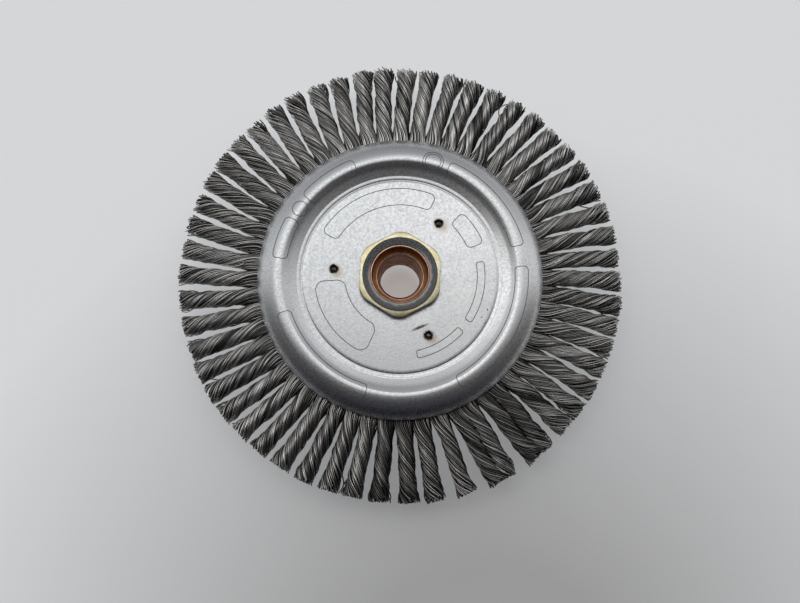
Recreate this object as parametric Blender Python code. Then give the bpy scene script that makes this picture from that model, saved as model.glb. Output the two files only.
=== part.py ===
"""A 6 in wheel brush with 56 twisted knots of steel wire, for a threaded angle grinder spindle.

The wheel lies flat: its axis is +Z and its lowest face is on z = 0. Two pressed plates close over
a drilled ring. Each knot is a hank of wire that is folded through one hole of that ring and
twisted on itself. A hex nut on the front and a threaded sleeve from the back hold the stack.
"""

import math
import random

import bmesh
import bpy
from mathutils import Matrix, Vector

MM = 0.001

# The wheel. Heights called "level" are measured from the mid-plane of the knots, towards the front.
TIP_RADIUS = 76.2 * MM
KNOT_COUNT = 56
FIRST_KNOT_ANGLE = math.radians(-0.3)  # measured from +Y, anticlockwise
MID_PLANE_Z = 9.4 * MM
GAP = 0.3 * MM  # between pieces that touch on the real wheel

# The pressed plates, front and back alike.
PLATE_THICKNESS = 1.1 * MM
PLATE_RADIUS = 48.5 * MM
PLATE_RIM_LEVEL = 4.5 * MM
RIDGE_RADIUS = 40.6 * MM
RIDGE_LEVEL = 9.2 * MM
FLAT_RADIUS = 33.4 * MM
FLAT_LEVEL = 7.2 * MM
WELD_RADIUS = 22.4 * MM
WELD_ANGLES = (54.0, 174.0, 295.0)  # degrees, anticlockwise from +X
WELD_DIMPLE_RADIUS = 1.5 * MM
WELD_DIMPLE_DEPTH = 0.55 * MM

# The hub. The thread is 5/8 in - 11 UNC; the bore is modelled at its minor diameter.
THREAD_MAJOR_RADIUS = 7.94 * MM
THREAD_MINOR_RADIUS = 6.8 * MM
THREAD_CHAMFER = THREAD_MAJOR_RADIUS - THREAD_MINOR_RADIUS
COUNTERBORE_RADIUS = 9.55 * MM
COUNTERBORE_DEPTH = 4.7 * MM
SLEEVE_RADIUS = 9.85 * MM
FLANGE_RADIUS = 14.0 * MM
FLANGE_EDGE = 0.4 * MM
NUT_ACROSS_FLATS = 26.99 * MM
NUT_TURN = math.radians(-2.5)
NUT_LEVEL = 10.2 * MM
NUT_FACE_RADIUS = 12.62 * MM
NUT_CORNER_RADIUS = 14.6 * MM  # the corners are turned down to this
NUT_CHAMFER_SLOPE = math.tan(math.radians(12.0))
NUT_SHANK_RADIUS = 12.5 * MM
NUT_SHANK_LEVEL = 0.6 * MM
SPACER_RADIUS = 27.0 * MM
SPACER_EDGE = 0.8 * MM

# The drilled ring that carries the knots.
RING_INNER_RADIUS = 36.5 * MM
RING_OUTER_RADIUS = 44.5 * MM
RING_HALF_THICKNESS = 1.4 * MM
HOLE_CIRCLE_RADIUS = 40.5 * MM
HOLE_RADIUS = 1.85 * MM

# One knot, along its length: radius from the axis, half width, half height.
KNOT_SECTIONS = (
    (46.8 * MM, 2.25 * MM, 2.30 * MM),
    (50.0 * MM, 2.45 * MM, 2.60 * MM),
    (53.0 * MM, 2.65 * MM, 2.65 * MM),
    (56.5 * MM, 2.75 * MM, 2.70 * MM),
    (60.5 * MM, 2.80 * MM, 2.75 * MM),
    (64.5 * MM, 2.80 * MM, 2.75 * MM),
    (68.5 * MM, 2.90 * MM, 2.80 * MM),
    (72.5 * MM, 3.15 * MM, 2.95 * MM),
    (TIP_RADIUS, 3.50 * MM, 3.15 * MM),
)
KNOT_SIDES = 8
# The knots are twisted left-handed: seen from the root, the front leg starts at this angle from
# the knot's clockwise side and turns on towards the front.
KNOT_LAY = 22.5 * MM
KNOT_ROOT_TURN = math.radians(137.0)
KNOT_OVAL = 0.08
RAGGED_LENGTH = 0.7 * MM
# The fold through the ring: radius from the axis, level, half width, half thickness, and the
# direction of the strand as an angle in the plane of radius and height.
KNOT_FOLD = (
    (44.7 * MM, 2.65 * MM, 1.95 * MM, 0.80 * MM, 178.0),
    (42.3 * MM, 2.90 * MM, 1.80 * MM, 0.85 * MM, 195.0),
    (40.9 * MM, 2.05 * MM, 1.40 * MM, 0.85 * MM, 240.0),
    (40.5 * MM, 0.00 * MM, 1.15 * MM, 0.85 * MM, 270.0),
    (40.9 * MM, -2.05 * MM, 1.40 * MM, 0.85 * MM, 300.0),
    (42.3 * MM, -2.90 * MM, 1.80 * MM, 0.85 * MM, 345.0),
    (44.7 * MM, -2.65 * MM, 1.95 * MM, 0.80 * MM, 2.0),
)

# How far the used knots lean from their radius, in degrees clockwise, by clock angle from +Y:
# clock angle, lean of the knot where it leaves the plates, lean of its tip.
LEAN_RADIUS = 52.0 * MM
KNOT_LEAN = (
    (0.0, 0.0, 1.6),
    (36.0, -0.1, 1.0),
    (62.0, -0.8, 0.4),
    (90.0, -1.1, 0.4),
    (122.0, -2.4, -2.0),
    (148.0, -3.3, -3.7),
    (163.0, -4.4, -5.4),
    (176.0, -2.4, -2.8),
    (192.0, -1.2, -0.9),
    (225.0, -0.8, 0.5),
    (250.0, -0.6, -0.4),
    (283.0, 0.0, 1.9),
    (320.0, 0.0, 1.8),
    (345.0, 0.0, 2.2),
)
LEAN_SCATTER = 0.25
TANGLED_PAIRS = ((22, 23), (24, 25))
TANGLE_LEAN = 1.3

TURNED_SEGMENTS = 64
HUB_SEGMENTS = 48

FINISHES = {
    "zinc": ((0.62, 0.64, 0.66), 0.34, 1.0),
    "zinc_dark": ((0.42, 0.43, 0.44), 0.45, 1.0),
    "yellow_chromate": ((0.52, 0.47, 0.34), 0.38, 1.0),
    "copper_plate": ((0.72, 0.38, 0.28), 0.32, 1.0),
    "steel": ((0.40, 0.40, 0.40), 0.45, 1.0),
    "wire": ((0.20, 0.20, 0.19), 0.42, 1.0),
}


def clear_scene():
    for old in list(bpy.data.objects):
        bpy.data.objects.remove(old, do_unlink=True)


def finish(piece, kind):
    """A material of the piece's own, from the named finish."""
    colour, roughness, metallic = FINISHES[kind]
    made = bpy.data.materials.new(f"{piece}_{kind}")
    made.use_nodes = True
    shader = made.node_tree.nodes["Principled BSDF"]
    shader.inputs["Base Color"].default_value = (*colour, 1.0)
    shader.inputs["Roughness"].default_value = roughness
    shader.inputs["Metallic"].default_value = metallic
    return made


def add_mesh(name, bm, kind):
    """Puts the mesh in the scene as the named object, smooth but for its sharp edges."""
    bmesh.ops.recalc_face_normals(bm, faces=bm.faces)
    mesh = bpy.data.meshes.new(name)
    bm.to_mesh(mesh)
    bm.free()
    mesh.shade_smooth()
    mesh.set_sharp_from_angle(angle=math.radians(35.0))
    piece = bpy.data.objects.new(name, mesh)
    if kind:
        mesh.materials.append(finish(name, kind))
    bpy.context.scene.collection.objects.link(piece)
    return piece


def add_helper(name, bm):
    """A shape that a Boolean uses, left out of the wheel itself."""
    helper = add_mesh(name, bm, None)
    helper.hide_render = True
    helper.display_type = "WIRE"
    return helper


def add_boolean(piece, helper, operation):
    modifier = piece.modifiers.new(helper.name, "BOOLEAN")
    modifier.operation = operation
    modifier.solver = "EXACT"
    modifier.object = helper


def at(angle, radius, level):
    """A point of the wheel, from its angle from +X, its radius and its level."""
    return Vector((radius * math.cos(angle), radius * math.sin(angle), MID_PLANE_Z + level))


def turned(outline, segments):
    """A closed outline of (radius, level) points, turned once round the wheel's axis."""
    bm = bmesh.new()
    rings = []
    for step in range(segments):
        angle = 2.0 * math.pi * step / segments
        rings.append([bm.verts.new(at(angle, radius, level)) for radius, level in outline])
    for here, there in zip(rings, rings[1:] + rings[:1]):
        for i in range(len(outline)):
            j = (i + 1) % len(outline)
            bm.faces.new((here[i], here[j], there[j], there[i]))
    return bm


def plate_surface():
    """The outside of a plate beyond its flat, as (radius, level) points over the ridge to the rim."""
    run = RIDGE_RADIUS - FLAT_RADIUS
    rise = RIDGE_LEVEL - FLAT_LEVEL
    points = []
    for share, height in ((0.0, 0.0), (0.19, 0.02), (0.39, 0.22), (0.80, 0.85)):
        points.append((FLAT_RADIUS + run * share, FLAT_LEVEL + rise * height))
    outer_run = PLATE_RADIUS - RIDGE_RADIUS
    outer_fall = RIDGE_LEVEL - PLATE_RIM_LEVEL
    for share in (0.0, 0.15, 0.4, 0.7, 1.0):
        points.append((RIDGE_RADIUS + outer_run * share, RIDGE_LEVEL - outer_fall * share**1.9))
    return points


def inward(points, distance):
    """The points moved square to their run, towards the mid-plane."""
    moved = []
    for i, (radius, level) in enumerate(points):
        before = points[max(i - 1, 0)]
        after = points[min(i + 1, len(points) - 1)]
        run = Vector((after[0] - before[0], after[1] - before[1])).normalized()
        moved.append((radius + run.y * distance, level - run.x * distance))
    return moved


def plate_outline(hole_radius, side):
    """The section of a plate. The side is 1 for the front and -1 for the back."""
    outside = [(hole_radius, FLAT_LEVEL)] + plate_surface()
    inside = inward(outside, PLATE_THICKNESS)
    section = outside + inside[::-1]
    return [(radius, side * level) for radius, level in section]


def add_front_plate():
    bm = turned(plate_outline(NUT_SHANK_RADIUS + GAP, 1.0), TURNED_SEGMENTS)
    plate = add_mesh("front_plate", bm, "zinc")
    dimples = bmesh.new()
    for degrees in WELD_ANGLES:
        middle = at(math.radians(degrees), WELD_RADIUS, FLAT_LEVEL)
        bmesh.ops.create_cone(
            dimples,
            cap_ends=True,
            segments=10,
            radius1=0.5 * WELD_DIMPLE_RADIUS,
            radius2=1.5 * WELD_DIMPLE_RADIUS,
            depth=2.0 * WELD_DIMPLE_DEPTH,
            matrix=Matrix.Translation(middle),
        )
    add_boolean(plate, add_helper("weld_dimples", dimples), "DIFFERENCE")


def add_back_plate():
    bm = turned(plate_outline(SLEEVE_RADIUS + GAP, -1.0), TURNED_SEGMENTS)
    add_mesh("back_plate", bm, "zinc_dark")


def add_retaining_ring():
    outline = (
        (RING_INNER_RADIUS, -RING_HALF_THICKNESS),
        (RING_OUTER_RADIUS, -RING_HALF_THICKNESS),
        (RING_OUTER_RADIUS, RING_HALF_THICKNESS),
        (RING_INNER_RADIUS, RING_HALF_THICKNESS),
    )
    ring = add_mesh("retaining_ring", turned(outline, KNOT_COUNT), "steel")
    holes = bmesh.new()
    for index in range(KNOT_COUNT):
        middle = at(knot_angle(index), HOLE_CIRCLE_RADIUS, 0.0)
        bmesh.ops.create_cone(
            holes,
            cap_ends=True,
            segments=8,
            radius1=HOLE_RADIUS,
            radius2=HOLE_RADIUS,
            depth=4.0 * RING_HALF_THICKNESS,
            matrix=Matrix.Translation(middle) @ Matrix.Rotation(knot_angle(index), 4, "Z"),
        )
    add_boolean(ring, add_helper("ring_holes", holes), "DIFFERENCE")


def add_hub_spacer():
    top = FLAT_LEVEL - PLATE_THICKNESS - GAP
    step = NUT_SHANK_LEVEL - GAP
    outline = (
        (SLEEVE_RADIUS + GAP, -top),
        (SPACER_RADIUS - SPACER_EDGE, -top),
        (SPACER_RADIUS, SPACER_EDGE - top),
        (SPACER_RADIUS, top - SPACER_EDGE),
        (SPACER_RADIUS - SPACER_EDGE, top),
        (NUT_SHANK_RADIUS + GAP, top),
        (NUT_SHANK_RADIUS + GAP, step),
        (SLEEVE_RADIUS + GAP, step),
    )
    add_mesh("hub_spacer", turned(outline, HUB_SEGMENTS), "steel")


def add_hub_nut():
    corner_radius = 0.5 * NUT_ACROSS_FLATS / math.cos(math.pi / 6.0)
    chamfer_fall = (NUT_CORNER_RADIUS - NUT_FACE_RADIUS) * NUT_CHAMFER_SLOPE
    seat = FLAT_LEVEL + GAP
    outline = (
        (SLEEVE_RADIUS + GAP, NUT_LEVEL),
        (NUT_FACE_RADIUS, NUT_LEVEL),
        (NUT_CORNER_RADIUS, NUT_LEVEL - chamfer_fall),
        (NUT_CORNER_RADIUS, seat),
        (NUT_SHANK_RADIUS, seat),
        (NUT_SHANK_RADIUS, NUT_SHANK_LEVEL),
        (SLEEVE_RADIUS + GAP, NUT_SHANK_LEVEL),
    )
    nut = add_mesh("hub_nut", turned(outline, HUB_SEGMENTS), "yellow_chromate")
    hexagon = bmesh.new()
    bmesh.ops.create_cone(
        hexagon,
        cap_ends=True,
        segments=6,
        radius1=corner_radius,
        radius2=corner_radius,
        depth=4.0 * NUT_LEVEL,
        matrix=Matrix.Translation((0.0, 0.0, MID_PLANE_Z)) @ Matrix.Rotation(NUT_TURN, 4, "Z"),
    )
    add_boolean(nut, add_helper("nut_hexagon", hexagon), "INTERSECT")


def add_hub_sleeve():
    floor = -MID_PLANE_Z
    flange_top = -FLAT_LEVEL - GAP
    thread_start = NUT_LEVEL - COUNTERBORE_DEPTH
    outline = (
        (THREAD_MAJOR_RADIUS, floor),
        (FLANGE_RADIUS - FLANGE_EDGE, floor),
        (FLANGE_RADIUS, floor + FLANGE_EDGE),
        (FLANGE_RADIUS, flange_top),
        (SLEEVE_RADIUS, flange_top),
        (SLEEVE_RADIUS, NUT_LEVEL),
        (COUNTERBORE_RADIUS, NUT_LEVEL),
        (COUNTERBORE_RADIUS, thread_start),
        (THREAD_MAJOR_RADIUS, thread_start),
        (THREAD_MINOR_RADIUS, thread_start - THREAD_CHAMFER),
        (THREAD_MINOR_RADIUS, floor + THREAD_CHAMFER),
    )
    add_mesh("hub_sleeve", turned(outline, HUB_SEGMENTS), "copper_plate")


def clock_degrees(index):
    return 360.0 * index / KNOT_COUNT


def knot_angle(index):
    """The angle of a knot's hole from +X. Knots are numbered clockwise from +Y."""
    return math.pi / 2.0 + FIRST_KNOT_ANGLE - math.radians(clock_degrees(index))


def lean(index, column):
    """Reads KNOT_LEAN at the knot, smoothly between its rows."""
    clock = clock_degrees(index % KNOT_COUNT)
    rows = KNOT_LEAN + ((KNOT_LEAN[0][0] + 360.0, *KNOT_LEAN[0][1:]),)
    for low, high in zip(rows, rows[1:]):
        if low[0] <= clock <= high[0]:
            share = (clock - low[0]) / (high[0] - low[0])
            share = share * share * (3.0 - 2.0 * share)
            return low[column] + (high[column] - low[column]) * share
    return 0.0


def tip_scatter(index):
    """The small lean that is a knot's own, and the pull of two tangled tips on each other."""
    for first, second in TANGLED_PAIRS:
        if index == first:
            return TANGLE_LEAN
        if index == second:
            return -TANGLE_LEAN
    return LEAN_SCATTER * random.Random(index % KNOT_COUNT).uniform(-1.0, 1.0)


def centre_angle(index, radius):
    """The angle from +X of a knot's centre line at this radius from the axis."""
    rim_lean = lean(index, 1)
    tip_lean = lean(index, 2) + tip_scatter(index)
    if radius < LEAN_RADIUS:
        share = max(0.0, radius - HOLE_CIRCLE_RADIUS) / (LEAN_RADIUS - HOLE_CIRCLE_RADIUS)
        degrees = rim_lean * share
    else:
        share = (radius - LEAN_RADIUS) / (TIP_RADIUS - LEAN_RADIUS)
        degrees = rim_lean + (tip_lean - rim_lean) * share
    return knot_angle(index) - math.radians(degrees)


def tangled(first, second):
    return (first, second) in TANGLED_PAIRS or (second, first) in TANGLED_PAIRS


def free_half_width(index, radius):
    """Half the width that the knot's neighbours leave it at this radius."""
    here = centre_angle(index, radius)
    turn = centre_angle(index, radius + MM) - here
    across = radius * math.cos(math.atan2(radius * turn, MM))
    widths = []
    for other in ((index - 1) % KNOT_COUNT, (index + 1) % KNOT_COUNT):
        if not tangled(index, other):
            away = centre_angle(other, radius) - here
            away = abs(math.atan2(math.sin(away), math.cos(away)))
            widths.append(0.5 * (across * away - 1.5 * GAP))
    return min(widths)


def fold_ring(bm, index, station):
    """The four corners of the hank where it passes through the ring."""
    radius, level, half_width, half_thickness, direction = station
    angle = centre_angle(index, radius)
    outward = Vector((math.cos(angle), math.sin(angle), 0.0))
    across = Vector((-math.sin(angle), math.cos(angle), 0.0))
    up = Vector((0.0, 0.0, 1.0))
    turn = math.radians(direction - 90.0)
    thick = outward * math.cos(turn) + up * math.sin(turn)
    middle = at(angle, radius, level)
    corners = ((-0.9, -1.0), (-1.0, 1.0), (1.0, 1.0), (0.9, -1.0))
    return [
        bm.verts.new(middle + across * half_width * side + thick * half_thickness * rise)
        for side, rise in corners
    ]


def trunk_ring(bm, index, station, tip_radius, phase):
    """One section of the twisted part of a knot, from the top right corner anticlockwise."""
    radius, half_width, half_height = station
    start = KNOT_SECTIONS[0][0]
    share = (radius - start) / (TIP_RADIUS - start)
    radius = start + (tip_radius - start) * share
    angle = centre_angle(index, radius)
    slope = radius * (centre_angle(index, radius + MM) - angle) / MM
    across = Vector((-math.sin(angle), math.cos(angle), 0.0))
    across -= slope * Vector((math.cos(angle), math.sin(angle), 0.0))
    across.normalize()
    oval = KNOT_OVAL * min(1.0, 4.0 * share)
    half_width = min(half_width, free_half_width(index, radius) / (1.0 + oval))
    middle = at(angle, radius, 0.0)
    twist = phase + 2.0 * math.pi * (radius - start) / KNOT_LAY
    ring = []
    for corner in range(KNOT_SIDES):
        turn = 2.0 * math.pi * (corner + 0.5) / KNOT_SIDES
        swell = 1.0 + oval * math.cos(2.0 * (turn - twist))
        side = -half_width * swell * math.cos(turn)
        rise = half_height * swell * math.sin(turn)
        ring.append(bm.verts.new(middle + across * side + Vector((0.0, 0.0, rise))))
    return ring


def bridge(bm, here, there):
    for i in range(len(here)):
        j = (i + 1) % len(here)
        bm.faces.new((here[i], here[j], there[j], there[i]))


def matched(corners, ring):
    """The corners in the order, and from the start, that lies nearest to the ring's corners."""
    orders = []
    for way in (corners, corners[::-1]):
        orders += [way[i:] + way[:i] for i in range(len(way))]
    return min(orders, key=lambda order: sum((a.co - b.co).length for a, b in zip(order, ring)))


def knot_mesh(index):
    """The hank folded through its hole, its two legs running together into the twisted part."""
    chance = random.Random(1000 + index)
    tip_radius = TIP_RADIUS - RAGGED_LENGTH * chance.random()
    phase = KNOT_ROOT_TURN + math.radians(chance.uniform(-10.0, 10.0))
    bm = bmesh.new()
    trunk = [trunk_ring(bm, index, station, tip_radius, phase) for station in KNOT_SECTIONS]
    for here, there in zip(trunk, trunk[1:]):
        bridge(bm, here, there)
    bm.faces.new(trunk[-1])
    half = KNOT_SIDES // 2
    front_leg = trunk[0][:half]
    back_leg = trunk[0][half:]
    bm.faces.new((front_leg[0], front_leg[-1], back_leg[0], back_leg[-1]))
    fold = [fold_ring(bm, index, station) for station in KNOT_FOLD]
    rings = [matched(front_leg, fold[0])] + fold + [matched(back_leg, fold[-1])]
    for here, there in zip(rings, rings[1:]):
        bridge(bm, here, there)
    return bm


def add_knots():
    second_of_pair = {second for _, second in TANGLED_PAIRS}
    partner = dict(TANGLED_PAIRS)
    for index in range(KNOT_COUNT):
        if index in second_of_pair:
            continue
        if index not in partner:
            add_mesh(f"knot_{index + 1:02d}", knot_mesh(index), "wire")
            continue
        other = partner[index]
        name = f"knot_{index + 1:02d}_{other + 1:02d}"
        pair = add_mesh(name, knot_mesh(index), "wire")
        helper = add_helper(f"knot_{other + 1:02d}_of_pair", knot_mesh(other))
        add_boolean(pair, helper, "UNION")


def main():
    clear_scene()
    add_front_plate()
    add_back_plate()
    add_retaining_ring()
    add_hub_spacer()
    add_hub_nut()
    add_hub_sleeve()
    add_knots()


main()
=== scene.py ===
"""The looks of the knotted wire wheel brush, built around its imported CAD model."""

import math

import bmesh
import bpy
import numpy as np
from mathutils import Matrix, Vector


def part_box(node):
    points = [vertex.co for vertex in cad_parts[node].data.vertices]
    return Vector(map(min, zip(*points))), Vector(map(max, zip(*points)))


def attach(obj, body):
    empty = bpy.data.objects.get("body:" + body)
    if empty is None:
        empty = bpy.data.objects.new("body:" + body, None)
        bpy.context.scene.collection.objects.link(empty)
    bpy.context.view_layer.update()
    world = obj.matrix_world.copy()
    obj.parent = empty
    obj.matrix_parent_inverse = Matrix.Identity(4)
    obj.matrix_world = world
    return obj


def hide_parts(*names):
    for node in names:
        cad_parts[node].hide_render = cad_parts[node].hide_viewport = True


MM = 0.001
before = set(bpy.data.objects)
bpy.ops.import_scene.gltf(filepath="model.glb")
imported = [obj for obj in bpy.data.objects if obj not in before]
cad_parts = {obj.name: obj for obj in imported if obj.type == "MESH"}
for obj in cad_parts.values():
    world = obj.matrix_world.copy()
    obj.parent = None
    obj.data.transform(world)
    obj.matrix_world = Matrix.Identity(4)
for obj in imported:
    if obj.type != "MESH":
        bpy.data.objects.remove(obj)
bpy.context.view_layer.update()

# Where things are, read from the CAD model.
ring_low, ring_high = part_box("retaining_ring")
plate_low, plate_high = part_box("front_plate")
_, nut_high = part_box("hub_nut")
sleeve_low, sleeve_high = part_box("hub_sleeve")
MID_Z = 0.5 * (ring_low.z + ring_high.z)
PLATE_RADIUS = 0.5 * (plate_high.x - plate_low.x)
RIDGE_LEVEL = plate_high.z - MID_Z
NUT_LEVEL = nut_high.z - MID_Z
HUB_BACK_LEVEL = sleeve_low.z - MID_Z
FLANGE_RADIUS = 0.5 * (sleeve_high.x - sleeve_low.x)

# The rest of the sections, as on the CAD parts. A level is a height above the knots' mid-plane.
PLATE_THICKNESS = 1.1 * MM
PLATE_RIM_LEVEL = 4.5 * MM
RIDGE_RADIUS = 40.6 * MM
FLAT_LEVEL = 7.2 * MM
WELD_RADIUS = 22.4 * MM
WELD_ANGLES = (54.0, 174.0, 295.0)  # degrees, anticlockwise from +X
THREAD_MAJOR_RADIUS = 7.94 * MM
THREAD_MINOR_RADIUS = 6.8 * MM
THREAD_PITCH = 25.4 * MM / 11.0
COUNTERBORE_RADIUS = 9.55 * MM
COUNTERBORE_DEPTH = 4.7 * MM
SLEEVE_RADIUS = 9.85 * MM
NUT_HALF_FLATS = 13.495 * MM
NUT_TURN = math.radians(-2.5)
NUT_FACE_RADIUS = 12.62 * MM
NUT_CORNER_RADIUS = 14.6 * MM
NUT_SHANK_LEVEL = 0.6 * MM
KNOT_COUNT = 56
FIRST_KNOT_TURN = math.radians(0.3)  # clockwise from +Y
HOLE_CIRCLE_RADIUS = 40.5 * MM
KNOT_ROOT_RADIUS = 46.8 * MM

# Only on the visual model.
FLAT_END_RADIUS = 31.8 * MM
FRONT_HOLE_RADIUS = 12.8 * MM
BACK_HOLE_RADIUS = 10.5 * MM
NUT_SHANK_RADIUS = 12.6 * MM
NUT_FOOT_CHAMFER = 0.15 * MM
THREAD_STEP = 0.18 * MM
HUB_CLEARANCE = 0.02 * MM


# ---------------------------------------------------------------- node trees


class Shade:
    """A material under construction: a short way to add nodes and join them."""

    def __init__(self, name):
        self.material = bpy.data.materials.new(name)
        self.material.use_nodes = True
        self.tree = self.material.node_tree
        self.tree.nodes.clear()
        output = self.tree.nodes.new("ShaderNodeOutputMaterial")
        self.shader = self.tree.nodes.new("ShaderNodeBsdfPrincipled")
        self.tree.links.new(self.shader.outputs[0], output.inputs[0])
        self.place = self.node("ShaderNodeTexCoord").outputs["Object"]

    def node(self, kind, **settings):
        made = self.tree.nodes.new(kind)
        for name, value in settings.items():
            setattr(made, name, value)
        return made

    def put(self, socket, value):
        if isinstance(value, bpy.types.NodeSocket):
            self.tree.links.new(value, socket)
        elif isinstance(value, tuple) and len(value) == 3 and len(socket.default_value) == 4:
            socket.default_value = (*value, 1.0)
        else:
            socket.default_value = value

    def noise(self, scale, detail=3.0, roughness=0.5, place=None):
        """A noise from 0 to 1; the scale is in features per millimetre."""
        made = self.node("ShaderNodeTexNoise")
        self.put(made.inputs["Vector"], place or self.place)
        self.put(made.inputs["Scale"], scale * 1000.0)
        self.put(made.inputs["Detail"], detail)
        self.put(made.inputs["Roughness"], roughness)
        return made.outputs["Fac"]

    def stretched(self, scale):
        made = self.node("ShaderNodeMapping")
        self.put(made.inputs["Vector"], self.place)
        self.put(made.inputs["Scale"], scale)
        return made.outputs["Vector"]

    def math(self, operation, *values):
        made = self.node("ShaderNodeMath", operation=operation)
        for socket, value in zip(made.inputs, values):
            self.put(socket, value)
        return made.outputs[0]

    def ramp(self, value, low, high, first=0.0, last=1.0):
        """The value mapped smoothly from low..high to first..last."""
        made = self.node("ShaderNodeMapRange", interpolation_type="SMOOTHSTEP")
        for socket, number in zip(made.inputs, (value, low, high, first, last)):
            self.put(socket, number)
        return made.outputs[0]

    def mix(self, share, first, second):
        made = self.node("ShaderNodeMix", data_type="RGBA")
        self.put(made.inputs["Factor"], share)
        self.put(made.inputs[6], first)
        self.put(made.inputs[7], second)
        return made.outputs[2]

    def distance(self, x, y, z):
        made = self.node("ShaderNodeVectorMath", operation="DISTANCE")
        self.put(made.inputs[0], self.place)
        made.inputs[1].default_value = (x, y, z)
        return made.outputs["Value"]

    def ellipse(self, x, y, degrees, run, rise):
        """0 at the point (x, y) and 1 on the ellipse round it, in millimetres, seen from the front."""
        turned = self.node("ShaderNodeMapping", vector_type="TEXTURE")
        self.put(turned.inputs["Vector"], self.place)
        turned.inputs["Location"].default_value = (x * MM, y * MM, 0.0)
        turned.inputs["Rotation"].default_value = (0.0, 0.0, math.radians(degrees))
        turned.inputs["Scale"].default_value = (run * MM, rise * MM, 1.0)
        made = self.node("ShaderNodeVectorMath", operation="LENGTH")
        self.put(made.inputs[0], turned.outputs["Vector"])
        return made.outputs["Value"]

    def from_axis(self):
        """The distance from the wheel's axis."""
        flat = self.stretched((1.0, 1.0, 0.0))
        made = self.node("ShaderNodeVectorMath", operation="LENGTH")
        self.put(made.inputs[0], flat)
        return made.outputs["Value"]

    def distance_from_middle(self):
        """The height above the knots' mid-plane."""
        parts = self.node("ShaderNodeSeparateXYZ")
        self.put(parts.inputs[0], self.place)
        return self.math("SUBTRACT", parts.outputs["Z"], MID_Z)

    def bump(self, height, distance, strength=1.0, normal=None):
        made = self.node("ShaderNodeBump")
        self.put(made.inputs["Height"], height)
        self.put(made.inputs["Distance"], distance)
        self.put(made.inputs["Strength"], strength)
        if normal:
            self.put(made.inputs["Normal"], normal)
        return made.outputs["Normal"]

    def metal(self, colour, roughness, normal=None):
        self.put(self.shader.inputs["Base Color"], colour)
        self.put(self.shader.inputs["Roughness"], roughness)
        self.shader.inputs["Metallic"].default_value = 1.0
        if normal:
            self.put(self.shader.inputs["Normal"], normal)
        return self.material


# Scratches on the front plate: x and y in mm, direction in degrees, and half length in mm.
SCRATCHES = (
    (-10.0, 24.0, 32.0, 9.0), (20.0, 6.0, 75.0, 6.0), (-22.0, -6.0, -60.0, 7.0),
    (8.0, -27.0, 12.0, 8.0), (16.0, -16.0, 38.0, 5.0), (-40.8, -1.0, 84.0, 8.0),
)


def zinc_plate(name, wear_and_painted_light):
    """Dull zinc plate with painted light, brightest near a point right of the hub; the one with wear
    has heat tints round its welds, rust specks, scratches and painted shade by the knots towards -Y.
    """
    s = Shade(name)
    cloud = s.noise(0.12, 4.0, 0.6)
    fleck = s.noise(1.3, 3.0, 0.6)
    grain = s.noise(4.0, 2.0, 0.5)
    # Painted light: lighter near a point right of the hub, darker further away from it.
    side = s.ramp(s.distance(30.0 * MM, -10.0 * MM, MID_Z), 12.0 * MM, 62.0 * MM)
    colour = s.mix(side, (0.78, 0.785, 0.79), (0.62, 0.635, 0.65))
    colour = s.mix(s.ramp(cloud, 0.35, 0.65, 0.0, 0.4), colour, (0.64, 0.65, 0.665))
    colour = s.mix(s.ramp(fleck, 0.52, 0.72, 0.0, 0.30), colour, (0.44, 0.45, 0.47))
    roughness = s.ramp(fleck, 0.3, 0.7, 0.24, 0.36)
    if wear_and_painted_light:
        # Painted shade: the plate is darker on its outer slope by the knots, most towards -Y.
        painted_shade_by_knots = s.math(
            "MULTIPLY", s.ramp(s.from_axis(), 44.0 * MM, 47.3 * MM),
            s.ramp(s.distance(0.0, -60.0 * MM, MID_Z), 22.0 * MM, 58.0 * MM, 0.85, 0.0),
        )
        colour = s.mix(painted_shade_by_knots, colour, (0.13, 0.12, 0.13))
        speck = s.noise(0.9, 2.0, 0.5)
        edge = s.ellipse(29.0, -11.0, 20.0, 7.0, 9.0)
        rust = s.math("MULTIPLY", s.ramp(speck, 0.66, 0.71), s.ramp(edge, 0.3, 1.0, 1.0, 0.0))
        colour = s.mix(rust, colour, (0.20, 0.11, 0.06))
        for degrees in WELD_ANGLES:
            x = WELD_RADIUS / MM * math.cos(math.radians(degrees))
            y = WELD_RADIUS / MM * math.sin(math.radians(degrees))
            tint = s.ellipse(x + 0.5, y - 0.5, -45.0, 4.2, 3.0)
            near = s.math("ADD", tint, s.math("MULTIPLY", fleck, 0.6))
            colour = s.mix(s.ramp(near, 0.55, 1.25, 0.75, 0.0), colour, (0.42, 0.34, 0.26))
            near = s.math("ADD", s.ellipse(x, y, 0.0, 2.0, 2.0), s.math("MULTIPLY", fleck, 0.5))
            colour = s.mix(s.ramp(near, 0.85, 1.25, 0.85, 0.0), colour, (0.10, 0.075, 0.06))
        smear = s.math("ADD", s.ellipse(6.6, -17.6, 22.0, 4.4, 0.75), s.math("MULTIPLY", fleck, 0.7))
        colour = s.mix(s.ramp(smear, 0.6, 1.3, 0.95, 0.0), colour, (0.07, 0.05, 0.035))
        for x, y, turn, run in SCRATCHES:
            line = s.ellipse(x, y, turn, run, 0.10)
            colour = s.mix(s.ramp(line, 0.4, 1.0, 0.45, 0.0), colour, (0.30, 0.28, 0.27))
    normal = s.bump(grain, 0.02 * MM, 0.3)
    normal = s.bump(fleck, 0.05 * MM, 0.3, normal)
    return s.metal(colour, roughness, normal)


def grained_metal(name, scale, spread, dark, light, roughness, depth, strength):
    """A metal whose fine grain runs from a dark to a light colour; the depth is in millimetres."""
    s = Shade(name)
    grain = s.noise(scale, 3.0, 0.6)
    colour = s.mix(s.ramp(grain, *spread), dark, light)
    normal = s.bump(grain, depth * MM, strength)
    return s.metal(colour, s.ramp(grain, 0.3, 0.7, *roughness), normal)


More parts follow.
